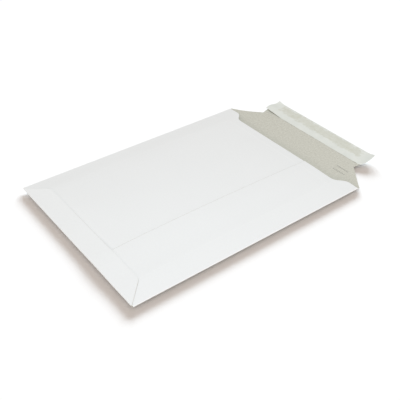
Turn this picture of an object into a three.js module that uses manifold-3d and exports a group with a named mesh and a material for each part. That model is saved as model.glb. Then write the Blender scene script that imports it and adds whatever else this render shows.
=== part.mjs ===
// A board pocket envelope for documents, lying on its back with its closing flap open.
// Millimetres. +Z is up, +X runs across the envelope, +Y from its glued bottom to its mouth.
// The origin is the middle of the flat outer face of the back panel.

import * as THREE from "three";
import { mergeVertices } from "three/addons/utils/BufferGeometryUtils.js";
import Module from "manifold-3d";

// The board and the pocket's outline
const WIDTH = 250; // outside of one side fold to the other
const LENGTH = 336; // bottom fold to the mouth line
const BOARD = 0.6; // board thickness
const CREASE_INSET = 27; // score lines that frame both panels, in from the folds
const SIDE_FOLD_RADIUS = 0.5; // bend of the board's middle at a side fold

// The front panel's glued seam and the glued bottom flap
const SEAM_FROM_SIDE = 81.7; // free edge of the narrow front half, from its own side
const SEAM_OVERLAP = 15; // wide half glued under the narrow half
const SEAM_EASE_OUT = 25; // past the overlap the narrow half comes down to the wide half's level
const SEAM_EASE_IN = 4; // the bottom flap climbs onto the narrow half over this
const BOTTOM_FLAP = 25; // depth of the bottom flap
const BOTTOM_FLAP_SET_IN = 2; // its ends at the bottom fold, in from the sides
const BOTTOM_FLAP_CORNER = 4; // radius of its free corners
const GLUE_BITE = 0.15; // a glued layer's lower face reaches this far into the layer under it

// How far the empty pocket springs open
const FOLD_HEIGHT = 3.8; // middle of the side folds above the floor
const CREASE_RISE = 3.2; // front panel, from the side folds up to its score lines
const CROWN_RISE = 2.6; // front panel, from its score lines up to its crown
const CROWN_SKEW = 0.65; // below 1, the crown lies nearer the bottom than the mouth
const MOUTH_DROP = 0.66; // share of both rises that is lost at the mouth's edge
const MOUTH_REACH = 40; // length over which the front panel comes down to the mouth

// The mouth's thumb recess, with S-curved shoulders
const MOUTH_RECESS = 13.8; // depth behind the mouth line
const SHOULDER_SET_BACK = 1.5; // the front panel's edge at the sides, behind the mouth line
const SHOULDER_START = 14.4; // where a shoulder leaves that edge, from the side
const SHOULDER_END = 37; // where it meets the recess, from the side
const RECESS_OFFSET = 1.9; // the recess lies this far off the middle, towards +X

// The closing flap
const HINGE_OUT = 3.5; // the crease's turning line, out from the mouth line
const HINGE_GAP = 0.3; // slit between pocket and flap on that line
const FLAP_LEVEL = 4.5; // past the mouth line the raised margins come down to the flat flap over this
const FLAP_TILT = THREE.MathUtils.degToRad(4.6); // the open flap springs up off the floor
const FLAP_LENGTH = 68; // mouth line to the flap's outer edge
const WAIST_OUT = 32; // mouth line to the waist
const WAIST_SET_IN = 36.4; // waist, in from the sides
const STRIP_FLARE = 20; // past the waist the flap widens over this to its strip
const STRIP_SET_IN = 33.6; // ends of the strip, in from the sides
const STRIP_CORNER = 4; // radius of its outer corners

// The adhesive band and its liner
const ADHESIVE = 0.2; // thickness of the band
const ADHESIVE_WIDTH = 17;
const ADHESIVE_END = 12; // bare board past each end of the band
const ADHESIVE_MARGIN = 2; // bare board past its outer edge
const LINER = 0.15; // thickness of the paper
const LINER_WIDTH = 28.4;
const LINER_OVERHANG = 0.5; // past the flap's outer edge
const LINER_END_OVERHANG = 1.2; // past the strip's ends
const LINER_CURL = 2; // height of its curled outer corners
const LINER_CURL_REACH = 14; // length of the curl at each end
const LINER_LIFT = 3; // its loose inner corner on the -X side
const LINER_LIFT_REACH = 27; // length over which that corner comes loose
const SEAT_GAP = 0.05; // between board, adhesive and paper

// Lines that follow from the sizes above
const MOUTH = LENGTH / 2;
const HINGE = MOUTH + HINGE_OUT;
const SHEET_HALF = WIDTH / 2 - SIDE_FOLD_RADIUS - BOARD / 2; // where the side folds begin
const BOTTOM_FOLD_RADIUS = SIDE_FOLD_RADIUS + BOARD / 2; // it takes the front panel inside
const SHEET_BOTTOM = -LENGTH / 2 + BOTTOM_FOLD_RADIUS + BOARD / 2; // where the bottom fold begins
const CREASE_HALF = SHEET_HALF - CREASE_INSET;
const CREASE_BOTTOM = SHEET_BOTTOM + CREASE_INSET;
const SEAM = WIDTH / 2 - SEAM_FROM_SIDE;
const SEAM_END = SEAM + SEAM_OVERLAP;
const FOLD_LEG = 0.3; // a fold's ends reach this far into its sheets

const clamp = THREE.MathUtils.clamp;
const lerp = THREE.MathUtils.lerp;
const wasm = await Module();
wasm.setup();

// Evenly spaced grid lines from one place to another
function lines(from, to, steps) {
  return Array.from({ length: steps + 1 }, (_, i) => lerp(from, to, i / steps));
}

// Grid lines through several runs of lines, with the shared ends taken once
function joined(...runs) {
  return runs.flatMap((run, i) => (i === 0 ? run : run.slice(1)));
}

// How far a corner of this radius draws an edge in, at a distance short of the end line
function cornerSetback(short, radius) {
  const t = clamp(1 - short / radius, 0, 1);
  return radius * (1 - Math.sqrt(1 - t * t));
}

// 0 on the side and bottom folds, 1 from the score lines inwards
function marginRamp(x, y) {
  const inset = Math.min(SHEET_HALF - Math.abs(x), y - SHEET_BOTTOM);
  return clamp(inset / CREASE_INSET, 0, 1);
}

// Middle of the board in the back panel, with its raised margins, and in the flat tilted flap beyond it
function backMiddle(x, y) {
  const out = Math.max(0, y - MOUTH);
  const lift = (1 - marginRamp(x, y)) * Math.max(0, 1 - out / FLAP_LEVEL);
  return BOARD / 2 + (FOLD_HEIGHT - SIDE_FOLD_RADIUS - BOARD / 2) * lift + out * Math.tan(FLAP_TILT);
}

// Middle of the board in the wide front half, raised at the score lines and crowned inside them
function frontMiddle(x, y) {
  const along = clamp((y - CREASE_BOTTOM) / (MOUTH - CREASE_BOTTOM), 0, 1);
  const across = clamp(x / CREASE_HALF, -1, 1);
  const crown = CROWN_RISE * (1 - across ** 2) * Math.sin(Math.PI * along ** CROWN_SKEW);
  const fromEdge = Math.max(0, MOUTH - MOUTH_RECESS - y);
  const open = 1 - MOUTH_DROP * Math.exp(-fromEdge / MOUTH_REACH);
  return FOLD_HEIGHT + SIDE_FOLD_RADIUS + (CREASE_RISE * marginRamp(x, y) + crown) * open;
}

// 1 where the narrow half lies on the wide one, easing to 0 towards its own side
function seamStep(x) {
  return clamp(1 - (x - SEAM_END) / SEAM_EASE_OUT, 0, 1);
}

// The same for what is glued over both halves, which climbs onto the seam from the wide half
function overSeam(x) {
  return Math.min(seamStep(x), clamp(1 + (x - SEAM) / SEAM_EASE_IN, 0, 1));
}

// Half width of the bottom flap, which is mitred at 45 degrees with rounded free corners
function bottomFlapHalf(depth) {
  return WIDTH / 2 - BOTTOM_FLAP_SET_IN - depth - cornerSetback(BOTTOM_FLAP - depth, BOTTOM_FLAP_CORNER);
}

// Half width of the closing flap at a distance out from the mouth line
function flapHalf(out) {
  if (out <= WAIST_OUT) {
    return lerp(SHEET_HALF, WIDTH / 2 - WAIST_SET_IN, Math.max(0, out) / WAIST_OUT);
  }
  const flare = clamp((out - WAIST_OUT) / STRIP_FLARE, 0, 1);
  const end = lerp(WIDTH / 2 - WAIST_SET_IN, WIDTH / 2 - STRIP_SET_IN, flare * (2 - flare));
  return end - cornerSetback(FLAP_LENGTH - out, STRIP_CORNER);
}

// Height of a sheet's upper (+1) or lower (-1) face, with its lower face glued into another sheet or free
function faceHeight(middle, face, glued = false) {
  return middle + (face * BOARD) / 2 - (glued && face < 0 ? GLUE_BITE : 0);
}

// A closed sheet on a grid of lines.
// place(column, row, face) gives a point of its upper (+1) or lower (-1) face.
function sheet(columns, rows, place) {
  const grid = new THREE.BoxGeometry(1, 1, 1, columns.length - 1, rows.length - 1, 1);
  const points = grid.attributes.position;
  for (let i = 0; i < points.count; i += 1) {
    const column = columns[Math.round((points.getX(i) + 0.5) * (columns.length - 1))];
    const row = rows[Math.round((points.getY(i) + 0.5) * (rows.length - 1))];
    points.setXYZ(i, ...place(column, row, 2 * points.getZ(i)));
  }
  return grid;
}

// Half a ring of board around a fold that opens towards -X, with a leg on each side, along +Z
function fold(radius, length) {
  const outer = radius + BOARD / 2;
  const inner = radius - BOARD / 2;
  const profile = new THREE.Shape();
  profile.moveTo(-FOLD_LEG, outer);
  profile.lineTo(-FOLD_LEG, inner);
  profile.lineTo(0, inner);
  profile.absarc(0, 0, inner, Math.PI / 2, -Math.PI / 2, true);
  profile.lineTo(-FOLD_LEG, -inner);
  profile.lineTo(-FOLD_LEG, -outer);
  profile.lineTo(0, -outer);
  profile.absarc(0, 0, outer, -Math.PI / 2, Math.PI / 2, false);
  profile.closePath();
  return new THREE.ExtrudeGeometry(profile, { depth: length, bevelEnabled: false, curveSegments: 6 });
}

// Conversions between closed geometries and solids that can be joined and cut
function toSolid(geometry) {
  const bare = geometry.clone();
  bare.deleteAttribute("normal");
  bare.deleteAttribute("uv");
  const closed = mergeVertices(bare, 1e-4);
  const vertProperties = new Float32Array(closed.attributes.position.array);
  const triVerts = new Uint32Array(closed.index.array);
  return new wasm.Manifold(new wasm.Mesh({ numProp: 3, vertProperties, triVerts }));
}

function join(...geometries) {
  return geometries.map(toSolid).reduce((whole, piece) => whole.add(piece));
}

function toGeometry(solid) {
  const mesh = solid.getMesh();
  const geometry = new THREE.BufferGeometry();
  geometry.setAttribute("position", new THREE.BufferAttribute(mesh.vertProperties, 3));
  geometry.setIndex(new THREE.BufferAttribute(mesh.triVerts, 1));
  geometry.computeVertexNormals();
  return geometry;
}

// Grid lines shared by the sheets that are glued together
const seamColumns = lines(SEAM, SEAM_END, 2);
const sideMargin = lines(0, CREASE_INSET, 3);
const frontRows = joined(
  lines(SHEET_BOTTOM, CREASE_BOTTOM, 3),
  lines(CREASE_BOTTOM, MOUTH - CREASE_INSET, 10),
  lines(MOUTH - CREASE_INSET, MOUTH, 4),
);

function backPanel() {
  const columns = joined(
    sideMargin.map((inset) => inset - SHEET_HALF),
    lines(-CREASE_HALF, CREASE_HALF, 4),
    sideMargin.map((inset) => CREASE_HALF + inset),
  );
  const rows = joined(
    lines(SHEET_BOTTOM, CREASE_BOTTOM, 3),
    lines(CREASE_BOTTOM, MOUTH, 4),
    [MOUTH, HINGE - HINGE_GAP / 2],
  );
  return sheet(columns, rows, (column, y, face) => {
    const x = (column * flapHalf(y - MOUTH)) / SHEET_HALF;
    return [x, y, faceHeight(backMiddle(x, y), face)];
  });
}

function wideFrontHalf() {
  const columns = joined(
    sideMargin.map((inset) => inset - SHEET_HALF),
    lines(-CREASE_HALF, SEAM, 9),
    seamColumns,
  );
  return sheet(columns, frontRows, (x, y, face) => [x, y, faceHeight(frontMiddle(x, y), face)]);
}

function narrowFrontHalf() {
  const easeEnd = SEAM_END + SEAM_EASE_OUT;
  const columns = joined(
    seamColumns,
    lines(SEAM_END, easeEnd, 2),
    [easeEnd, CREASE_HALF],
    sideMargin.map((inset) => CREASE_HALF + inset),
  );
  return sheet(columns, frontRows, (x, y, face) => {
    const middle = frontMiddle(x, y) + BOARD * seamStep(x);
    return [x, y, faceHeight(middle, face, x <= SEAM_END)];
  });
}

function bottomFlap() {
  const innerEnd = bottomFlapHalf(BOTTOM_FLAP) - BOTTOM_FLAP_CORNER / 2;
  const columns = [
    -WIDTH, -innerEnd, SEAM - SEAM_EASE_IN, SEAM, SEAM_END, SEAM_END + SEAM_EASE_OUT, innerEnd, WIDTH,
  ];
  const depths = joined(
    lines(0, BOTTOM_FLAP - BOTTOM_FLAP_CORNER, 3),
    lines(BOTTOM_FLAP - BOTTOM_FLAP_CORNER, BOTTOM_FLAP, 4),
  );
  return sheet(columns, depths, (column, depth, face) => {
    const half = bottomFlapHalf(depth);
    const x = clamp(column, -half, half);
    const y = SHEET_BOTTOM + depth;
    const middle = frontMiddle(0, y) + BOARD * (1 + overSeam(x));
    return [x, y, faceHeight(middle, face, true)];
  });
}

function sideFold(side) {
  const length = MOUTH - SHEET_BOTTOM;
  const bend = fold(SIDE_FOLD_RADIUS, length).rotateX(Math.PI / 2);
  if (side > 0) return bend.translate(SHEET_HALF, MOUTH, FOLD_HEIGHT);
  return bend.rotateZ(Math.PI).translate(-SHEET_HALF, SHEET_BOTTOM, FOLD_HEIGHT);
}

function bottomFold() {
  const half = bottomFlapHalf(0);
  const bend = fold(BOTTOM_FOLD_RADIUS, 2 * half).rotateX(Math.PI / 2).rotateZ(-Math.PI / 2);
  return bend.translate(half, SHEET_BOTTOM, FOLD_HEIGHT + BOARD / 2);
}

// What is cut from the front panel and the upper half of the side folds at the mouth
function thumbRecess() {
  const start = WIDTH / 2 - SHOULDER_START;
  const end = WIDTH / 2 - SHOULDER_END;
  const middle = (start + end) / 2;
  const edge = MOUTH - SHOULDER_SET_BACK;
  const deep = MOUTH - MOUTH_RECESS;
  const outline = new THREE.Shape();
  outline.moveTo(-WIDTH, MOUTH + MOUTH_RECESS);
  outline.lineTo(-WIDTH, edge);
  outline.lineTo(-start, edge);
  outline.bezierCurveTo(-middle, edge, -middle, deep, -end, deep);
  outline.lineTo(end, deep);
  outline.bezierCurveTo(middle, deep, middle, edge, start, edge);
  outline.lineTo(WIDTH, edge);
  outline.lineTo(WIDTH, MOUTH + MOUTH_RECESS);
  outline.closePath();
  const depth = CREASE_RISE + CROWN_RISE + FOLD_HEIGHT;
  const cut = new THREE.ExtrudeGeometry(outline, { depth, bevelEnabled: false, curveSegments: 10 });
  return cut.translate(RECESS_OFFSET, 0, FOLD_HEIGHT);
}

function envelopePocket() {
  const front = join(wideFrontHalf(), narrowFrontHalf(), sideFold(-1), sideFold(1));
  return join(backPanel(), bottomFold(), bottomFlap()).add(front.subtract(toSolid(thumbRecess())));
}

function closingFlap() {
  const columns = lines(-1, 1, 14);
  const rows = joined(
    [HINGE_OUT + HINGE_GAP / 2, FLAP_LEVEL],
    lines(FLAP_LEVEL, WAIST_OUT, 3),
    lines(WAIST_OUT, WAIST_OUT + STRIP_FLARE, 4),
    lines(WAIST_OUT + STRIP_FLARE, FLAP_LENGTH - STRIP_CORNER, 2),
    lines(FLAP_LENGTH - STRIP_CORNER, FLAP_LENGTH, 4),
  );
  return sheet(columns, rows, (share, out, face) => {
    const x = share * flapHalf(out);
    return [x, MOUTH + out, faceHeight(backMiddle(x, MOUTH + out), face)];
  });
}

// A flat or curled layer on the open flap's upper face, at a height above it
function onFlap(x, out, height) {
  return [x, MOUTH + out, backMiddle(0, MOUTH + out) + BOARD / 2 + height];
}

function adhesiveStrip() {
  const half = flapHalf(FLAP_LENGTH - STRIP_CORNER - ADHESIVE_WIDTH) - ADHESIVE_END;
  const outer = FLAP_LENGTH - ADHESIVE_MARGIN;
  return sheet([-half, half], [outer - ADHESIVE_WIDTH, outer], (x, out, face) => {
    return onFlap(x, out, SEAT_GAP + (ADHESIVE * (1 + face)) / 2);
  });
}

// Height of the liner above its seat: curled outer corners, and one loose inner corner
function linerRise(share, half, across) {
  const fromEnd = half * (1 - Math.abs(share));
  const curl = LINER_CURL * across * clamp(1 - fromEnd / LINER_CURL_REACH, 0, 1) ** 2;
  if (share > 0) return curl;
  return curl + LINER_LIFT * (1 - across) * clamp(1 - fromEnd / LINER_LIFT_REACH, 0, 1);
}

function releaseLiner() {
  const outer = FLAP_LENGTH + LINER_OVERHANG;
  const inner = outer - LINER_WIDTH;
  const bed = ADHESIVE + 2 * SEAT_GAP;
  return sheet(lines(-1, 1, 28), lines(inner, outer, 5), (share, out, face) => {
    const half = flapHalf(Math.min(out, FLAP_LENGTH - STRIP_CORNER)) + LINER_END_OVERHANG;
    const across = (out - inner) / LINER_WIDTH;
    const height = bed + linerRise(share, half, across) + (LINER * (1 + face)) / 2;
    return onFlap(share * half, out, height);
  });
}

// One named sub-part with its finish
function part(name, geometry, color, roughness) {
  const material = new THREE.MeshStandardMaterial({ color, roughness, metalness: 0 });
  const mesh = new THREE.Mesh(geometry, material);
  mesh.name = name;
  return mesh;
}

const envelope = new THREE.Group();
envelope.add(
  part("envelope_pocket", toGeometry(envelopePocket()), 0xe9ebe9, 0.6),
  part("closing_flap", closingFlap(), 0xc5c4b8, 0.8),
  part("adhesive_strip", adhesiveStrip(), 0xd8d2b8, 0.4),
  part("release_liner", releaseLiner(), 0xdce2dc, 0.5),
);

export default envelope;
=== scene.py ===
"""A board pocket envelope for documents, lying on its back with its closing flap open.

Metres. +Z is up, +X runs across the envelope, +Y from its glued bottom to its mouth.
"""

import math

import bpy
import numpy as np
from mathutils import Matrix


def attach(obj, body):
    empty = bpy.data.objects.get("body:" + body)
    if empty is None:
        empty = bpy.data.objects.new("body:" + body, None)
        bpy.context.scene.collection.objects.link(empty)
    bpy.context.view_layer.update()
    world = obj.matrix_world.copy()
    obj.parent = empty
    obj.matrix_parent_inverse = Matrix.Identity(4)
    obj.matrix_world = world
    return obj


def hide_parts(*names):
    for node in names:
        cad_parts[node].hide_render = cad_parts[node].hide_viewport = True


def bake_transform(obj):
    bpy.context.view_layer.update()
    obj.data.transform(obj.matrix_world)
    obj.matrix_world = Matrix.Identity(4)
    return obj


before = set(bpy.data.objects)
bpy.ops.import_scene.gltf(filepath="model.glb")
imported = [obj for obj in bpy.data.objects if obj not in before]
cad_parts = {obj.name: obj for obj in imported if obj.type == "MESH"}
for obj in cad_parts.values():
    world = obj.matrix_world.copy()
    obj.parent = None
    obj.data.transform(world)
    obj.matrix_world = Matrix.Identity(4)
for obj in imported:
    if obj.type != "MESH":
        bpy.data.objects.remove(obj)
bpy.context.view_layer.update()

# The board and the pocket's outline
WIDTH = 0.250
LENGTH = 0.336
BOARD = 0.0006
CREASE_INSET = 0.027  # score lines that frame both panels, in from the folds
SIDE_FOLD_RADIUS = 0.0005  # to the middle of the board
FOLD_STEPS = 14  # facets around a fold
SHARP_ANGLE = math.radians(15)  # edges bent further than this are not smoothed
HIP_WIDTH = 0.008  # where two raised margins meet at a corner
CREASE_EASE = 0.2  # share of the margin over which its slope eases into the panel
CRUSHED_WIDTH = 0.0004  # outer corner of a die-cut edge, pressed down by the knife
CRUSHED_DEPTH = 0.00015

# The front panel's glued seam and the glued bottom flap
SEAM_FROM_SIDE = 0.0817  # edge of the narrow front half, in from the side on +X
SEAM_OVERLAP = 0.015
SEAM_EASE_OUT = 0.025  # the narrow half comes down from the seam over this run
SEAM_EASE_IN = 0.030  # the bottom flap rises onto the seam over this run
BOTTOM_FLAP = 0.025
BOTTOM_FLAP_SET_IN = 0.002  # it stops this far short of the sides
BOTTOM_FLAP_CORNER = 0.004
GLUE_LINE = 0.00005

# How far the empty pocket springs open
FOLD_HEIGHT = 0.0038  # centre of the side folds above the ground
CREASE_RISE = 0.0032  # the front's rise from its folds to its score lines
CROWN_RISE = 0.0026  # its further rise in the middle
CROWN_SKEW = 0.65  # brings the crown nearer the bottom
MOUTH_DROP = 0.66  # share of the rise that is missing at the mouth
MOUTH_REACH = 0.040  # the drop fades over this run
RIPPLE = 0.00012  # slow unevenness of the front panel
RIPPLE_WAVES = ((31, 17, 0.6), (-9, 23, 1.1))  # radians per metre across and along, and phase
SCORE_RISE = 0.00008  # a score line is pressed from inside, so it stands proud outside
SCORE_HALF = 0.0006  # half its width
SCORE_ZONE = 0.002  # finer grid on each side of a score line
FOLD_HIGHLIGHT = 0.0028  # painted highlight along the side folds, this far in
HIGHLIGHT_SHARE = 0.5  # share of the painted highlight tone on a fold or score line
LONG_SCORE_HIGHLIGHT = 0.5  # painted highlight of the long score lines against the one across

# The mouth's thumb recess
MOUTH_RECESS = 0.0138  # depth of the recess from the mouth line
SHOULDER_SET_BACK = 0.0015  # the front stops this far short of the mouth line at the sides
SHOULDER_START = 0.0144  # a shoulder's outer end, in from the side
SHOULDER_END = 0.037  # its inner end
RECESS_OFFSET = 0.0019  # towards +X
SHOULDER_STEPS = 64  # points that the S-curve is read from
SHOULDER_ZONE = 0.003  # finer grid from this far before a shoulder
BENT_ROWS = 0.024  # length before the mouth over which the grid's rows bend to its edge

# The closing flap
HINGE_OUT = 0.0035  # the crease it turns at, out from the mouth line
FLAP_LEVEL = 0.022  # its raised margins level out over this run
FLAP_TILT = math.radians(4.6)
FLAP_LENGTH = 0.068
FLAP_ROOT = 0.0015  # the flap keeps the pocket's width this far out
WAIST_OUT = 0.032  # out from the mouth line
WAIST_SET_IN = 0.0364  # in from the pocket's side
STRIP_FLARE = 0.020  # past the waist, the outer strip widens over this run
STRIP_SET_IN = 0.0336  # in from the pocket's side
STRIP_CORNER = 0.004

# The adhesive band and its liner
ADHESIVE = 0.0002  # thickness
ADHESIVE_WIDTH = 0.017
ADHESIVE_END = 0.012  # left bare at each end of the strip
ADHESIVE_MARGIN = 0.002  # left bare along the flap's edge
ADHESIVE_RAGGED = 0.0006  # how far its edges stray
RAGGED_WAVES = ((1.0, 310, 0.4), (0.6, 730, 1.9))  # weight, radians per metre and phase
LINER = 0.00015  # thickness
LINER_WIDTH = 0.0284
LINER_OVERHANG = 0.0005  # past the flap's edge
LINER_END_OVERHANG = 0.0012
LINER_END_BULGE = 0.002  # the near end's outline, fullest towards its inner corner
LINER_BULGE_SKEW = 0.8
LINER_BULGE_FADE = 8  # power by which the bulge fades away from the end
LINER_CURL = 0.002  # rise of its outer corners
LINER_CURL_REACH = 0.014
LINER_LIFT = 0.003  # rise of its loose inner corner, at the far end
LINER_LIFT_REACH = 0.034
LINER_END_WAVE = 0.0011  # wave across that end
LINER_CRUMPLE = 0.0004  # at the near end
CRUMPLE_WAVE = (700, 260)  # radians per metre along the liner and over its width
LINER_RIPPLE = 0.00008  # along its free inner edge
LINER_RIPPLE_PACE = 260  # radians per metre
LINER_RIPPLE_DRIFT = 2  # radians by which the ripples gain and lose
LINER_DRIFT_PACE = 70  # radians per metre
LINER_SETTLE = 0.0002  # its free inner edge lies lower than the glued part
LINER_SETTLE_POWER = 1.5
SHOW_SHIFT = 0.0015  # the hot-melt shows through the liner this much further out than it lies
SHOW_EASE = 0.0025  # the stain fades in over this run
SHOW_END_SLOPE = 0.4  # towards the ends it fades more slowly
SHOW_WANDER = (-1.3, 1.1)  # how far its edge strays, in eases
SHOW_PATCHES = (0.25, 1.0)  # its weakest and strongest patches
SEAT_GAP = 0.00005  # between flap, adhesive and liner

# Two faint rows of plain ink bars inside the flap
MARK_START = 0.072  # across the flap, from its middle towards +X
MARK_END = 0.092
MARK_ROWS = (0.010, 0.0178)  # out from the mouth line
MARK_HALF_HEIGHT = 0.0012
MARK_PITCH = 0.0026
MARK_LEVEL = -0.55  # a bar is inked where the sine along its row is above this
MARK_INK = (0.12, 0.6)  # weakest and strongest ink

# The camera, as the photograph was taken
CAMERA_PLACE = (0.51624, -0.39043, 0.48166)
CAMERA_TURN = math.radians(51.942)
CAMERA_DOWN = math.radians(37.468)
CAMERA_ROLL = math.radians(0.795)
CAMERA_LENS = 58.096  # millimetres
CAMERA_SENSOR = 36.0  # millimetres
CAMERA_NEAR = 0.01

# Columns and rows of the grids
MOUTH_ROWS = 12  # those that bend to the mouth's edge
BOTTOM_FLAP_COLUMNS = 127
CLOSING_FLAP_COLUMNS = 81
ADHESIVE_GRID = (161, 9)
LINER_GRID = (201, 25)

# Lines that follow from the sizes above
MOUTH = LENGTH / 2
SHEET_HALF = WIDTH / 2 - SIDE_FOLD_RADIUS - BOARD / 2
BOTTOM_FOLD_RADIUS = SIDE_FOLD_RADIUS + BOARD / 2
SHEET_BOTTOM = -LENGTH / 2 + BOTTOM_FOLD_RADIUS + BOARD / 2
CREASE_HALF = SHEET_HALF - CREASE_INSET
CREASE_BOTTOM = SHEET_BOTTOM + CREASE_INSET
SEAM = WIDTH / 2 - SEAM_FROM_SIDE
SEAM_END = SEAM + SEAM_OVERLAP
MOUTH_SCORE = MOUTH - CREASE_INSET
RECESS_HALF = WIDTH / 2 - SHOULDER_END
STRAIGHT_ROWS_END = MOUTH - BENT_ROWS
LINER_OUTER = FLAP_LENGTH + LINER_OVERHANG
LINER_INNER = LINER_OUTER - LINER_WIDTH
ADHESIVE_OUTER = FLAP_LENGTH - ADHESIVE_MARGIN
ADHESIVE_INNER = ADHESIVE_OUTER - ADHESIVE_WIDTH


# Shape of the board

def clamp(value, low=0.0, high=1.0):
    """A value held between two others."""
    return np.clip(value, low, high)


def runs(*stops):
    """Grid lines through (place, steps on from there) pairs, up to the last place."""
    parts = [np.linspace(a, b, n, endpoint=False) for (a, n), (b, _) in zip(stops, stops[1:])]
    return np.concatenate([*parts, [stops[-1][0]]])


def soft_min(a, b, width):
    """The smaller of two values, rounded off where they differ by less than a width."""
    share = clamp(0.5 + 0.5 * (b - a) / width)
    return b + (a - b) * share - width * share * (1 - share)


def corner_setback(short, radius):
    """How far a rounded corner draws an edge in, at a distance short of the end line."""
    t = clamp(1 - short / radius)
    return radius * (1 - np.sqrt(1 - t * t))


def score(distance):
    """Height of a score line's bead at a distance from it."""
    return SCORE_RISE * np.exp(-((distance / SCORE_HALF) ** 2))


def margin_ramp(x, y):
    """0 on the side and bottom folds, 1 from the score lines inwards."""
    inset = soft_min(SHEET_HALF - np.abs(x), y - SHEET_BOTTOM, HIP_WIDTH)
    return np.maximum(0, soft_min(inset / CREASE_INSET, 1, CREASE_EASE))


def back_middle(x, y):
    """Middle of the back panel's board, and past the mouth of the closing flap's."""
    out = np.maximum(0, y - MOUTH)
    lift = (1 - margin_ramp(x, y)) * np.maximum(0, 1 - out / FLAP_LEVEL)
    return BOARD / 2 + (FOLD_HEIGHT - SIDE_FOLD_RADIUS - BOARD / 2) * lift + out * math.tan(FLAP_TILT)


def front_scores(x, y):
    """Height of the score lines that frame the front panel."""
    inside = clamp((CREASE_HALF - np.abs(x)) / SCORE_HALF)
    across = score(y - MOUTH_SCORE) * inside
    along = score(np.abs(x) - CREASE_HALF) * clamp((y - CREASE_BOTTOM) / SCORE_HALF)
    return np.maximum(across, along)


def front_ripple(x, y):
    """Two crossing waves, multiplied."""
    first, second = [np.sin(a * x + b * y + phase) for a, b, phase in RIPPLE_WAVES]
    return RIPPLE * first * second


def front_middle(x, y):
    """Middle of the front panel's board: raised between the score lines and crowned."""
    along = clamp((y - CREASE_BOTTOM) / (MOUTH - CREASE_BOTTOM))
    across = clamp(x / CREASE_HALF, -1, 1)
    crown = CROWN_RISE * (1 - across ** 2) * np.sin(np.pi * along ** CROWN_SKEW)
    from_edge = np.maximum(0, MOUTH - MOUTH_RECESS - y)
    opened = 1 - MOUTH_DROP * np.exp(-from_edge / MOUTH_REACH)
    raised = margin_ramp(x, y)
    sprung = (CREASE_RISE * raised + crown) * opened
    return FOLD_HEIGHT + SIDE_FOLD_RADIUS + sprung + front_ripple(x, y) * raised + front_scores(x, y)


def seam_step(x):
    """1 where the narrow half lies on the wide one, easing to 0 towards its own side."""
    return clamp(1 - (x - SEAM_END) / SEAM_EASE_OUT)


def over_seam(x):
    """1 where the bottom flap crosses the doubled board, easing to 0 on both sides."""
    return np.minimum(seam_step(x), clamp(1 + (x - SEAM) / SEAM_EASE_IN))


def bottom_flap_half(depth):
    """Half width of the bottom flap at a depth in from its fold."""
    setback = corner_setback(BOTTOM_FLAP - depth, BOTTOM_FLAP_CORNER)
    return WIDTH / 2 - BOTTOM_FLAP_SET_IN - depth - setback


def flap_half(out):
    """Half width of the closing flap at a distance out from the mouth line."""
    waist = WIDTH / 2 - WAIST_SET_IN
    inner = WIDTH / 2 - WAIST_SET_IN * clamp((out - FLAP_ROOT) / (WAIST_OUT - FLAP_ROOT))
    flare = clamp((out - WAIST_OUT) / STRIP_FLARE)
    strip = waist + (WAIST_SET_IN - STRIP_SET_IN) * flare * (2 - flare)
    return np.where(out <= WAIST_OUT, inner, strip) - corner_setback(FLAP_LENGTH - out, STRIP_CORNER)


def mouth_edge(x):
    """Where the front panel ends: a straight recess between two S-curved shoulders."""
    share = clamp((np.abs(x - RECESS_OFFSET) - RECESS_HALF) / (SHOULDER_END - SHOULDER_START))
    # A cubic curve that starts and ends level, with both its handles half way along
    t = np.linspace(0, 1, SHOULDER_STEPS)
    rise = np.interp(share, 1.5 * t - 1.5 * t ** 2 + t ** 3, 3 * t ** 2 - 2 * t ** 3)
    return MOUTH - MOUTH_RECESS + (MOUTH_RECESS - SHOULDER_SET_BACK) * rise


# Closed sheets and the objects made of them

OUTER, INNER, CUT = range(3)  # sides of a sheet, in the order of its finishes


def inside_line(edge, following):
    """Points a crushed corner's width in from an edge line, towards the next grid line."""
    step = following - edge
    length = np.linalg.norm(step[:, :3], axis=1, keepdims=True)
    return edge + step * np.minimum(0.5, CRUSHED_WIDTH / length)


def rimmed(grid):
    """The same grid with one more line of points just inside each of its four edges."""
    for axis in (0, 1):
        lines = np.swapaxes(grid, 0, axis)
        first = inside_line(lines[0], lines[1])
        last = inside_line(lines[-1], lines[-2])
        lines = np.concatenate([lines[:1], first[None], lines[1:-1], last[None], lines[-1:]])
        grid = np.swapaxes(lines, 0, axis)
    return grid


def die_cut(shape):
    """Marks for a sheet that is die-cut all round, apart from its first row."""
    marks = np.zeros(shape)
    marks[[0, -1]] = 1
    marks[:, -1] = 1
    return marks


def sheet_faces(shape):
    """Faces of a closed sheet over a grid: its outer side, its inner side and the rim between them."""
    count = shape[0] * shape[1]
    number = np.arange(count).reshape(shape)
    corners = number[:-1, :-1], number[1:, :-1], number[1:, 1:], number[:-1, 1:]
    outer = np.stack(corners, -1).reshape(-1, 4)
    ring = np.concatenate([number[:-1, 0], number[-1, :-1], number[:0:-1, -1], number[0, :0:-1]])
    after = np.roll(ring, -1)
    rim = np.stack([ring, ring + count, after + count, after], -1)
    return outer, outer[:, ::-1] + count, rim


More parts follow.
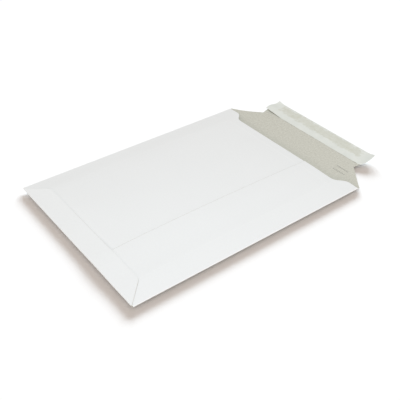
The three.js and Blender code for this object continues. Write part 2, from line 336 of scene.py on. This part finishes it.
def shell(middle, thickness, flat, cut):
    """A closed sheet around a grid of middle points, with each point's place on the flat sheet.

    The grid's edge points that cut marks with 1 are die-cut, and their outer corner is crushed.
    Gives the points, the faces, each face's side and each point's flat place.
    """
    grid = rimmed(np.concatenate([middle, flat, cut[..., None]], axis=-1))
    middle, flat, crushed = grid[..., :3], grid[..., 3:5], grid[..., 5] > 0.5
    crushed[1:-1, 1:-1] = False
    normal = np.cross(np.gradient(middle, axis=0), np.gradient(middle, axis=1))
    normal /= np.linalg.norm(normal, axis=2, keepdims=True)
    outward = thickness / 2 - CRUSHED_DEPTH * crushed[..., None]
    points = np.concatenate([
        (middle + normal * outward).reshape(-1, 3),
        (middle - normal * thickness / 2).reshape(-1, 3),
    ])
    outer, inner, rim = sheet_faces(crushed.shape)
    outer_sides = np.where(crushed.ravel()[outer].sum(axis=1) >= 2, CUT, OUTER)
    sides = np.concatenate([outer_sides, np.repeat([INNER, CUT], [len(inner), len(rim)])])
    places = np.concatenate([flat.reshape(-1, 2), flat.reshape(-1, 2)])
    return points, np.concatenate([outer, inner, rim]), sides, places


def piece(name, shells, finishes):
    """One object made of closed sheets, with a finish for each of their three sides."""
    firsts = np.cumsum([0] + [len(points) for points, *_ in shells])
    points = np.concatenate([points for points, *_ in shells])
    faces = np.concatenate([faces + first for (_, faces, *_), first in zip(shells, firsts)])
    sides = np.concatenate([sides for _, _, sides, _ in shells])
    places = np.concatenate([places for *_, places in shells])
    mesh = bpy.data.meshes.new(name)
    mesh.from_pydata(points.tolist(), [], faces.tolist())
    for surface in finishes:
        mesh.materials.append(surface)
    mesh.polygons.foreach_set("material_index", sides.astype(np.int32))
    mesh.polygons.foreach_set("use_smooth", np.ones(len(faces), bool))
    layer = mesh.uv_layers.new(name="flat")
    layer.data.foreach_set("uv", places[faces.ravel()].astype(np.float32).ravel())
    mesh.set_sharp_from_angle(angle=SHARP_ANGLE)
    mesh.update()
    made = bpy.data.objects.new(name, mesh)
    bpy.context.collection.objects.link(made)
    return made


# Grid lines over half the width and up the panels, finer at the score lines
outer_lines = runs(
    (RECESS_HALF - SHOULDER_ZONE, 11), (CREASE_HALF - SCORE_ZONE, 12),
    (CREASE_HALF + SCORE_ZONE, 22), (SHEET_HALF, 0),
)
half_lines = np.concatenate([runs((0, 20), (outer_lines[0], 0))[:-1], outer_lines])
row_lines = runs(
    (SHEET_BOTTOM, 16), (CREASE_BOTTOM - SCORE_ZONE, 8), (CREASE_BOTTOM + SCORE_ZONE, 62),
    (MOUTH_SCORE - SCORE_ZONE, 12), (MOUTH_SCORE + SCORE_ZONE, 2), (STRAIGHT_ROWS_END, 0),
)
edge_shares = np.linspace(0, 1, MOUTH_ROWS + 1)[1:]


def board_part(x, edge, height):
    """Middle points of columns at x, whose rows end at the mouth's edge, where height gives z."""
    straight = np.repeat(row_lines[None, :], len(x), axis=0)
    bent = STRAIGHT_ROWS_END + (edge[:, None] - STRAIGHT_ROWS_END) * edge_shares
    y = np.concatenate([straight, bent], axis=1)
    x = np.repeat(x[:, None], y.shape[1], axis=1)
    return np.stack(np.broadcast_arrays(x, y, height(x, y)), -1)


def side_fold():
    """Middle points of the side fold on +X, from the front to the back."""
    angle = np.linspace(math.pi / 2, -math.pi / 2, FOLD_STEPS + 1)[1:-1]
    share = np.linspace(0, 1, FOLD_STEPS + 1)[1:-1]
    height = FOLD_HEIGHT + SIDE_FOLD_RADIUS * np.sin(angle)
    edge = MOUTH - SHOULDER_SET_BACK * (1 - share)
    return board_part(SHEET_HALF + SIDE_FOLD_RADIUS * np.cos(angle), edge, lambda x, y: height[:, None])


def narrow_front_middle(x, y):
    """Middle of the narrow front half, which lies on the wide one at the seam."""
    return front_middle(x, y) + (BOARD + GLUE_LINE) * seam_step(x)


def wrapped_board():
    """The pocket as one sheet around its side folds, from the narrow front half to the wide one."""
    narrow = np.concatenate([runs((SEAM, 5), (SEAM_END, 7), (outer_lines[0], 0))[:-1], outer_lines])
    back = np.concatenate([half_lines[::-1], -half_lines[1:]])
    wide = np.concatenate([-half_lines[:0:-1], runs((0, 10), (SEAM, 4), (SEAM_END, 0))])
    near_fold = side_fold()
    middle = np.concatenate([
        board_part(narrow, mouth_edge(narrow), narrow_front_middle),
        near_fold,
        board_part(back, np.full(len(back), MOUTH), back_middle),
        near_fold[::-1] * (-1, 1, 1),  # its mirror image on -X
        board_part(wide, mouth_edge(wide), front_middle),
    ])
    x, y, z = np.moveaxis(middle, -1, 0)
    steps = np.hypot(np.diff(x[:, 0]), np.diff(z[:, 0]))
    around = np.concatenate([[0], np.cumsum(steps)])
    flat = np.stack([np.repeat(around[:, None], y.shape[1], axis=1), y], -1)
    cut = np.zeros(x.shape)
    cut[0] = 1
    cut[:, -1] = 1
    back_start = len(narrow) + len(near_fold)
    cut[back_start:back_start + len(back), -1] = 0  # the closing flap goes on from there
    return shell(middle, BOARD, flat, cut)


def bottom_flap():
    """The bottom fold and the mitred flap that is glued up over the front panel."""
    share = np.linspace(-1, 1, BOTTOM_FLAP_COLUMNS)
    angle = np.linspace(-math.pi / 2, math.pi / 2, FOLD_STEPS + 1)[:-1]
    depths = runs((0, 14), (BOTTOM_FLAP - BOTTOM_FLAP_CORNER, 8), (BOTTOM_FLAP, 0))
    centre = FOLD_HEIGHT + BOARD / 2
    fold_y = SHEET_BOTTOM - BOTTOM_FOLD_RADIUS * np.cos(angle)
    fold_z = centre + BOTTOM_FOLD_RADIUS * np.sin(angle)
    y = np.concatenate([fold_y, SHEET_BOTTOM + depths])
    half = np.concatenate([np.full(len(angle), bottom_flap_half(0)), bottom_flap_half(depths)])
    x = share[:, None] * half
    y = np.repeat(y[None, :], len(share), axis=0)
    glued_y = y[:, len(angle):]
    step = BOARD * (1 + over_seam(x)) + GLUE_LINE
    z = np.repeat(np.concatenate([fold_z, np.zeros(len(depths))])[None, :], len(share), axis=0)
    z[:, len(angle):] = front_middle(np.zeros_like(glued_y), glued_y) + step[:, len(angle):]
    z[:, :len(angle)] += (over_seam(x) * BOARD)[:, :len(angle)] * (1 + np.sin(angle)) / 2
    flat = np.stack([x, y - 2 * z], -1)
    return shell(np.stack([x, y, z], -1), BOARD, flat, die_cut(x.shape))


def closing_flap_sheet():
    """The open closing flap, with its crease pressed into the upper face."""
    share = np.linspace(1, -1, CLOSING_FLAP_COLUMNS)
    out = runs(
        (0, 24), (2 * HINGE_OUT, 12), (WAIST_OUT, 14), (WAIST_OUT + STRIP_FLARE, 6),
        (FLAP_LENGTH - STRIP_CORNER, 10), (FLAP_LENGTH, 0),
    )
    x = share[:, None] * flap_half(out)
    out = np.repeat(out[None, :], len(share), axis=0)
    z = back_middle(x, MOUTH + out) - score(out - HINGE_OUT)
    flat = np.stack([x, out], -1)
    return shell(np.stack([x, MOUTH + out, z], -1), BOARD, flat, die_cut(x.shape))


def on_flap(x, out, height):
    """Points at a height above the open flap's upper face."""
    z = back_middle(np.zeros_like(x), MOUTH + out) + BOARD / 2 + height
    return np.stack([x, MOUTH + out, z], -1)


def adhesive_sheet():
    """A hot-melt band with slightly ragged edges."""
    columns, rows = ADHESIVE_GRID
    share = np.linspace(-1, 1, columns)
    across = np.linspace(0, 1, rows)
    half = flap_half(np.array(ADHESIVE_INNER)) - ADHESIVE_END
    x = np.repeat(share[:, None], len(across), axis=1) * half
    wave = sum(weight * np.sin(pace * x + phase) for weight, pace, phase in RAGGED_WAVES)
    ragged = ADHESIVE_RAGGED * wave / sum(weight for weight, *_ in RAGGED_WAVES)
    out = ADHESIVE_INNER + ADHESIVE_WIDTH * across + ragged * (2 * across - 1)
    middle = on_flap(x, out, SEAT_GAP + ADHESIVE / 2)
    return shell(middle, ADHESIVE, np.stack([x, out], -1), np.zeros(x.shape))


def liner_rise(x, half, across):
    """Height of the liner above its seat: curled corners, a loose one, ripples and crumples."""
    from_end = half - np.abs(x)
    loose_end = clamp(1 - from_end / LINER_LIFT_REACH) * (x < 0)
    curled_end = clamp(1 - from_end / LINER_CURL_REACH) ** 2
    loose = loose_end * (LINER_LIFT * (1 - across) + LINER_END_WAVE * np.sin(2 * np.pi * across))
    crumple_phase = CRUMPLE_WAVE[0] * x + CRUMPLE_WAVE[1] * across
    crumple = LINER_CRUMPLE * curled_end * (x > 0) * (1 + np.sin(crumple_phase))
    ripple_phase = LINER_RIPPLE_PACE * x + LINER_RIPPLE_DRIFT * np.sin(LINER_DRIFT_PACE * x)
    ripple = LINER_RIPPLE * (1 - across) ** 2 * (1 + np.sin(ripple_phase))
    return np.maximum(0, LINER_CURL * across * curled_end + loose + crumple + ripple)


def liner_sheet():
    """The release liner, which overhangs the flap's outer strip and bulges at its near end."""
    columns, rows = LINER_GRID
    share = np.linspace(-1, 1, columns)
    out = np.linspace(LINER_INNER, LINER_OUTER, rows)
    across = (out - LINER_INNER) / LINER_WIDTH
    half = flap_half(np.minimum(out, FLAP_LENGTH - STRIP_CORNER)) + LINER_END_OVERHANG
    bulge = LINER_END_BULGE * np.sin(np.pi * across ** LINER_BULGE_SKEW)
    x = share[:, None] * half + clamp(share)[:, None] ** LINER_BULGE_FADE * bulge
    out = np.repeat(out[None, :], len(share), axis=0)
    free = clamp((ADHESIVE_INNER - out) / (ADHESIVE_INNER - LINER_INNER))
    settled = LINER_SETTLE * free ** LINER_SETTLE_POWER
    height = ADHESIVE + 2 * SEAT_GAP - settled + liner_rise(x, half + bulge, across) + LINER / 2
    return shell(on_flap(x, out, height), LINER, np.stack([x, out], -1), np.zeros(x.shape))


# Finishes

def colour(red, green, blue):
    """A linear colour from a screen colour of 0 to 255."""
    shares = [v / 255 for v in (red, green, blue)]
    return (*[s / 12.92 if s <= 0.04045 else ((s + 0.055) / 1.055) ** 2.4 for s in shares], 1.0)


WHITE_LOW = colour(239, 241, 241)
WHITE_HIGH = colour(240, 242, 242)
# painted highlight tone for the side folds and score lines
PAINTED_HIGHLIGHT = colour(248, 249, 248)
GREY_DARK = colour(195, 194, 183)
GREY_MIDDLE = colour(206, 206, 195)
GREY_PALE = colour(217, 217, 207)
RAW_DARK = colour(204, 201, 192)
RAW_PALE = colour(223, 221, 214)
LINER_LOW = colour(222, 226, 220)
LINER_HIGH = colour(229, 232, 226)
LINER_STAINED = colour(206, 207, 193)
HOT_MELT_DARK = colour(204, 198, 168)
HOT_MELT_PALE = colour(222, 218, 194)
INK = colour(96, 96, 92)
FULL_WHITE = (1, 1, 1, 1)
COAT_SHADE = (0.985, 0.985, 0.985, 1)  # times the white
FIBRE_SHADE = (0.82, 0.80, 0.76, 1)  # times the grey


def add(tree, kind, inputs=None, **settings):
    """A node with its settings, and its inputs set to values or linked to other nodes' outputs."""
    made = tree.nodes.new(kind)
    for key, value in settings.items():
        setattr(made, key, value)
    for key, value in (inputs or {}).items():
        if isinstance(value, bpy.types.NodeSocket):
            tree.links.new(value, made.inputs[key])
        else:
            made.inputs[key].default_value = value
    return made


def finish(name):
    """A new material: its node tree, its shader and the flat sheet's coordinates."""
    made = bpy.data.materials.new(name)
    made.use_nodes = True
    tree = made.node_tree
    place = add(tree, "ShaderNodeTexCoord").outputs["UV"]
    return made, tree, tree.nodes["Principled BSDF"], place


def noise(tree, place, scale, detail=3.0, roughness=0.5, squeeze=None):
    """A noise of so many cycles per metre, finer along an axis whose squeeze is above 1."""
    if squeeze:
        place = add(tree, "ShaderNodeMapping", {"Vector": place, "Scale": squeeze}).outputs["Vector"]
    inputs = {"Vector": place, "Scale": scale, "Detail": detail, "Roughness": roughness}
    return add(tree, "ShaderNodeTexNoise", inputs).outputs["Fac"]


def ramp(tree, factor, *stops):
    """Colours along a factor, from (place, colour) pairs."""
    made = add(tree, "ShaderNodeValToRGB", {"Fac": factor})
    elements = made.color_ramp.elements
    while len(elements) < len(stops):
        elements.new(0.5)
    for element, (place, shade) in zip(elements, stops):
        element.position = place
        element.color = shade
    return made.outputs["Color"]


def math_node(tree, operation, a, b=0.0, clamped=False):
    """One operation on values or other nodes' outputs, its result held from 0 to 1 if clamped."""
    made = add(tree, "ShaderNodeMath", operation=operation, use_clamp=clamped)
    for socket, value in zip(made.inputs, (a, b)):
        if isinstance(value, bpy.types.NodeSocket):
            tree.links.new(value, socket)
        else:
            socket.default_value = value
    return made.outputs["Value"]


def mix(tree, factor, a, b, blend="MIX"):
    """Two colours mixed by a factor."""
    inputs = {"Fac": factor, "Color1": a, "Color2": b}
    return add(tree, "ShaderNodeMixRGB", inputs, blend_type=blend).outputs["Color"]


def spread(tree, factor, low, high):
    """A noise factor spread from its usual 0.3 to 0.7 over a range of values."""
    inputs = {"Value": factor, "From Min": 0.3, "From Max": 0.7, "To Min": low, "To Max": high}
    return add(tree, "ShaderNodeMapRange", inputs).outputs["Result"]


def bump(tree, shader, height, strength, distance):
    """Fine relief on a surface."""
    inputs = {"Height": height, "Strength": strength, "Distance": distance}
    tree.links.new(add(tree, "ShaderNodeBump", inputs).outputs["Normal"], shader.inputs["Normal"])


def near_line(tree, value, line, half):
    """1 where a coordinate is on a line, falling to 0 at a distance from it."""
    off = math_node(tree, "ABSOLUTE", math_node(tree, "SUBTRACT", value, line))
    return math_node(tree, "SUBTRACT", 1.0, math_node(tree, "DIVIDE", off, half), clamped=True)


def highlight_mask(tree):
    """Up to 1 on the side folds and score lines, where the painted highlight goes."""
    solid = add(tree, "ShaderNodeTexCoord").outputs["Object"]
    split = add(tree, "ShaderNodeSeparateXYZ", {"Vector": solid})
    side, up = math_node(tree, "ABSOLUTE", split.outputs["X"]), split.outputs["Y"]
    above = math_node(tree, "GREATER_THAN", up, CREASE_BOTTOM)
    below = math_node(tree, "LESS_THAN", up, MOUTH)
    within = math_node(tree, "LESS_THAN", side, CREASE_HALF)
    along = math_node(tree, "MULTIPLY", near_line(tree, side, CREASE_HALF, SCORE_HALF), above)
    across = math_node(tree, "MULTIPLY", near_line(tree, up, MOUTH_SCORE, SCORE_HALF), within)
    scores = math_node(tree, "MAXIMUM", math_node(tree, "MULTIPLY", along, LONG_SCORE_HIGHLIGHT), across)
    fold = near_line(tree, side, WIDTH / 2, FOLD_HIGHLIGHT)
    return math_node(tree, "MULTIPLY", math_node(tree, "MAXIMUM", scores, fold), below)


def white_board():
    """Clay-coated white outer face: a slow drift of tone, a fine grain and a painted highlight on the
    folds and score lines.
    """
    made, tree, shader, place = finish("white_board")
    drift = ramp(tree, noise(tree, place, 9), (0.35, WHITE_LOW), (0.65, WHITE_HIGH))
    coat = ramp(tree, noise(tree, place, 420, detail=2), (0.3, COAT_SHADE), (0.7, FULL_WHITE))
    tone = mix(tree, 1.0, drift, coat, "MULTIPLY")
    # painted highlight: the folds and score lines are mixed towards a lighter tone
    highlight = math_node(tree, "MULTIPLY", highlight_mask(tree), HIGHLIGHT_SHARE)
    tree.links.new(mix(tree, highlight, tone, PAINTED_HIGHLIGHT), shader.inputs["Base Color"])
    grain = noise(tree, place, 1500, detail=5, roughness=0.6)
    tree.links.new(spread(tree, grain, 0.5, 0.64), shader.inputs["Roughness"])
    shader.inputs["Specular IOR Level"].default_value = 0.35
    bump(tree, shader, grain, strength=0.10, distance=0.0002)
    return made


def grey_tone(tree, place):
    """Tone of recycled grey board, a pulpy speckle with dark fibres, and the speckle itself."""
    speckle = noise(tree, place, 420, detail=7, roughness=0.8)
    pulp = ramp(tree, speckle, (0.38, GREY_DARK), (0.5, GREY_MIDDLE), (0.62, GREY_PALE))
    fibre = noise(tree, place, 480, detail=4, roughness=0.6, squeeze=(1, 1.8, 1))
    dark = ramp(tree, fibre, (0.28, FIBRE_SHADE), (0.38, FULL_WHITE))
    return mix(tree, 1.0, pulp, dark, "MULTIPLY"), speckle


def finish_grey(tree, shader, tone, speckle):
    """A dull surface in this tone, with roughness and relief from its speckle."""
    tree.links.new(tone, shader.inputs["Base Color"])
    tree.links.new(spread(tree, speckle, 0.82, 0.95), shader.inputs["Roughness"])
    shader.inputs["Specular IOR Level"].default_value = 0.2
    bump(tree, shader, speckle, strength=0.25, distance=0.0003)


def grey_board():
    """Plain grey inner face."""
    made, tree, shader, place = finish("grey_board")
    tone, speckle = grey_tone(tree, place)
    finish_grey(tree, shader, tone, speckle)
    return made


def marked_board():
    """The same grey board with two faint rows of plain ink bars."""
    made, tree, shader, place = finish("marked_board")
    tone, speckle = grey_tone(tree, place)
    split = add(tree, "ShaderNodeSeparateXYZ", {"Vector": place})
    across, out = split.outputs["X"], split.outputs["Y"]
    middle = (MARK_START + MARK_END) / 2
    off = math_node(tree, "ABSOLUTE", math_node(tree, "SUBTRACT", across, middle))
    inside = math_node(tree, "LESS_THAN", off, (MARK_END - MARK_START) / 2)
    bars = math_node(tree, "SINE", math_node(tree, "MULTIPLY", across, 2 * math.pi / MARK_PITCH))
    inked = math_node(tree, "GREATER_THAN", bars, MARK_LEVEL)
    rows = 0.0
    for row in MARK_ROWS:
        off = math_node(tree, "ABSOLUTE", math_node(tree, "SUBTRACT", out, row))
        rows = math_node(tree, "ADD", rows, math_node(tree, "LESS_THAN", off, MARK_HALF_HEIGHT))
    ink = math_node(tree, "MULTIPLY", math_node(tree, "MULTIPLY", inside, inked), rows)
    worn = spread(tree, noise(tree, place, 900, detail=4), *MARK_INK)
    faint = math_node(tree, "MULTIPLY", ink, worn, clamped=True)
    tone = mix(tree, faint, tone, INK)
    finish_grey(tree, shader, tone, speckle)
    return made


def raw_edge():
    """Cut edge of the board: grey-brown layers of pulp."""
    made, tree, shader, place = finish("raw_edge")
    layers = noise(tree, place, 900, detail=5, roughness=0.7)
    tone = ramp(tree, layers, (0.3, RAW_DARK), (0.7, RAW_PALE))
    tree.links.new(tone, shader.inputs["Base Color"])
    shader.inputs["Roughness"].default_value = 0.92
    shader.inputs["Specular IOR Level"].default_value = 0.15
    bump(tree, shader, layers, strength=0.3, distance=0.0002)
    return made


def adhesive_finish():
    """Straw-coloured hot-melt with a tacky, uneven gloss."""
    made, tree, shader, place = finish("hot_melt")
    flow = noise(tree, place, 240, detail=4, roughness=0.6)
    tone = ramp(tree, flow, (0.3, HOT_MELT_DARK), (0.7, HOT_MELT_PALE))
    tree.links.new(tone, shader.inputs["Base Color"])
    tree.links.new(spread(tree, flow, 0.22, 0.4), shader.inputs["Roughness"])
    bump(tree, shader, flow, strength=0.35, distance=0.0004)
    return made


def liner_finish():
    """Thin, pale, mint-tinged release paper, with the hot-melt showing through in ragged patches."""
    made, tree, shader, place = finish("release_paper")
    split = add(tree, "ShaderNodeSeparateXYZ", {"Vector": place})
    side, out = math_node(tree, "ABSOLUTE", split.outputs["X"]), split.outputs["Y"]
    half = float(flap_half(np.array(ADHESIVE_INNER))) - ADHESIVE_END
    from_inner = math_node(tree, "SUBTRACT", out, ADHESIVE_INNER + SHOW_SHIFT)
    from_outer = math_node(tree, "SUBTRACT", ADHESIVE_OUTER + SHOW_SHIFT, out)
    from_end = math_node(tree, "MULTIPLY", math_node(tree, "SUBTRACT", half, side), SHOW_END_SLOPE)
    inside = math_node(tree, "MINIMUM", math_node(tree, "MINIMUM", from_inner, from_outer), from_end)
    blots = noise(tree, place, 190, detail=5, roughness=0.6, squeeze=(0.8, 1, 1))
    wander = spread(tree, blots, *SHOW_WANDER)
    reach = math_node(tree, "ADD", math_node(tree, "DIVIDE", inside, SHOW_EASE), wander)
    contact = noise(tree, place, 170, detail=6, roughness=0.7, squeeze=(0.7, 1, 1))
    patches = spread(tree, contact, *SHOW_PATCHES)
    reached = math_node(tree, "MAXIMUM", reach, 0.0, clamped=True)
    shown = math_node(tree, "MULTIPLY", reached, patches, clamped=True)
    plain = ramp(tree, noise(tree, place, 60, detail=4), (0.35, LINER_LOW), (0.65, LINER_HIGH))
    tree.links.new(mix(tree, shown, plain, LINER_STAINED), shader.inputs["Base Color"])
    grain = noise(tree, place, 1100, detail=4, roughness=0.6)
    tree.links.new(spread(tree, grain, 0.38, 0.5), shader.inputs["Roughness"])
    bump(tree, shader, patches, strength=0.12, distance=0.0003)
    return made


# The pieces

white = white_board()
grey = grey_board()
cut = raw_edge()
paper = liner_finish()
tack = adhesive_finish()

pocket = piece("pocket_board", [wrapped_board(), bottom_flap()], [white, grey, cut])
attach(pocket, "pocket")
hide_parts("envelope_pocket")

flap = piece("flap_board", [closing_flap_sheet()], [white, marked_board(), cut])
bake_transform(flap)
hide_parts("closing_flap")

adhesive = piece("adhesive_band", [adhesive_sheet()], [tack, tack, tack])
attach(adhesive, "flap")
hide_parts("adhesive_strip")

liner = piece("liner_paper", [liner_sheet()], [paper, paper, paper])
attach(liner, "flap")
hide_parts("release_liner")


# Floor, light and camera

FLOOR_SIZE = 8.0
FLOOR_LEVEL = 1.03  # light on the open floor, so that it is plain white
DOME_LIGHT = (0.553, 0.494, 0.451)  # share of the light on a level surface, red, green and blue
SIDE_LIGHT = (0.15, 0.13, 0.124)  # on a surface that faces it
SIDE_TURN = math.radians(45)
SIDE_RISE = math.radians(16)
SIDE_SOFT = math.radians(14)
KEY_PLACE = (0.34, -0.16, 1.15)
KEY_SIZE = 0.9  # across its disk
BACK_TURNS = (32, 45, 58)  # degrees
BACK_RISES = (12, 17)  # degrees
BACK_SOFT = math.radians(9)


def floor():
    """A plain white floor."""
    mesh = bpy.data.meshes.new("floor")
    half = FLOOR_SIZE / 2
    corners = [(-half, -half, 0), (half, -half, 0), (half, half, 0), (-half, half, 0)]
    mesh.from_pydata(corners, [], [(0, 1, 2, 3)])
    made = bpy.data.objects.new("floor", mesh)
    bpy.context.collection.objects.link(made)
    surface = bpy.data.materials.new("floor_white")
    surface.use_nodes = True
    shader = surface.node_tree.nodes["Principled BSDF"]
    shader.inputs["Base Color"].default_value = FULL_WHITE
    shader.inputs["Roughness"].default_value = 1.0
    shader.inputs["Specular IOR Level"].default_value = 0.0
    mesh.materials.append(surface)
    return made


def dome():
    """An even sky, seen as plain white by the camera and in reflections."""
    world = bpy.data.worlds.new("studio")
    world.use_nodes = True
    tree = world.node_tree
    tree.nodes.clear()
    path = add(tree, "ShaderNodeLightPath")
    seen = math_node(tree, "MAXIMUM", path.outputs["Is Camera Ray"], path.outputs["Is Glossy Ray"])
    seen = math_node(tree, "MAXIMUM", seen, path.outputs["Is Transmission Ray"])
    light = add(tree, "ShaderNodeBackground", {"Color": (*DOME_LIGHT, 1), "Strength": 1.0})
    white_wall = add(tree, "ShaderNodeBackground", {"Color": FULL_WHITE, "Strength": 1.0})
    chosen = add(tree, "ShaderNodeMixShader", {0: seen, 1: light.outputs[0], 2: white_wall.outputs[0]})
    add(tree, "ShaderNodeOutputWorld", {"Surface": chosen.outputs[0]})
    bpy.context.scene.world = world


def lamp(name, kind, shade, energy, lit):
    """A lamp that lights only the given objects."""
    light = bpy.data.lights.new(name, kind)
    light.color = shade
    light.energy = energy
    made = bpy.data.objects.new(name, light)
    bpy.context.collection.objects.link(made)
    receivers = bpy.data.collections.new(name + "_lit")
    for member in lit:
        receivers.objects.link(member)
    made.light_linking.receiver_collection = receivers
    return made


def low_lamp(name, shade, turn, rise, soft, lit):
    """A soft distant lamp at a rise above the floor, shining at a turn from -Y towards +X.

    At its strength a white surface that faces it takes on exactly its shade.
    """
    made = lamp(name, "SUN", shade, math.pi, lit)
    made.data.angle = soft
    made.rotation_euler = (math.pi / 2 - rise, 0, math.pi + turn)


def key_lamp(lit):
    """The main lamp overhead, with what the dome and the side light leave of white light.

    At its power a white level surface at the origin takes on exactly its shade.
    """
    shade = [1 - sky - side * math.sin(SIDE_RISE) for sky, side in zip(DOME_LIGHT, SIDE_LIGHT)]
    distance = math.hypot(*KEY_PLACE)
    power = math.pi ** 2 * distance ** 3 / KEY_PLACE[2]
    made = lamp("key", "AREA", shade, power, lit)
    made.data.shape = "DISK"
    made.data.size = KEY_SIZE
    made.location = KEY_PLACE
    made.rotation_euler = (-made.location).to_track_quat("-Z", "Y").to_euler()


def back_lamps(lit):
    """Low lamps behind the object that draw its shadow on the floor towards the viewer."""
    count = len(BACK_TURNS) * len(BACK_RISES)
    for rise in map(math.radians, BACK_RISES):
        shade = [(FLOOR_LEVEL - sky) / count / math.sin(rise) for sky in DOME_LIGHT]
        for turn in map(math.radians, BACK_TURNS):
            low_lamp("back_light", shade, turn, rise, BACK_SOFT, lit)


def camera():
    """The view of the photograph."""
    lens = bpy.data.cameras.new("camera")
    lens.lens = CAMERA_LENS
    lens.sensor_width = CAMERA_SENSOR
    lens.clip_start = CAMERA_NEAR
    made = bpy.data.objects.new("camera", lens)
    bpy.context.collection.objects.link(made)
    made.matrix_world = (
        Matrix.Translation(CAMERA_PLACE)
        @ Matrix.Rotation(CAMERA_TURN, 4, "Z")
        @ Matrix.Rotation(math.pi / 2 - CAMERA_DOWN, 4, "X")
        @ Matrix.Rotation(CAMERA_ROLL, 4, "Z")
    )
    bpy.context.scene.camera = made


envelope = [pocket, flap, adhesive, liner]
dome()
key_lamp(envelope)
low_lamp("side_light", SIDE_LIGHT, SIDE_TURN - math.pi, SIDE_RISE, SIDE_SOFT, envelope)
back_lamps([floor()])
camera()
bpy.context.scene.view_settings.view_transform = "Standard"
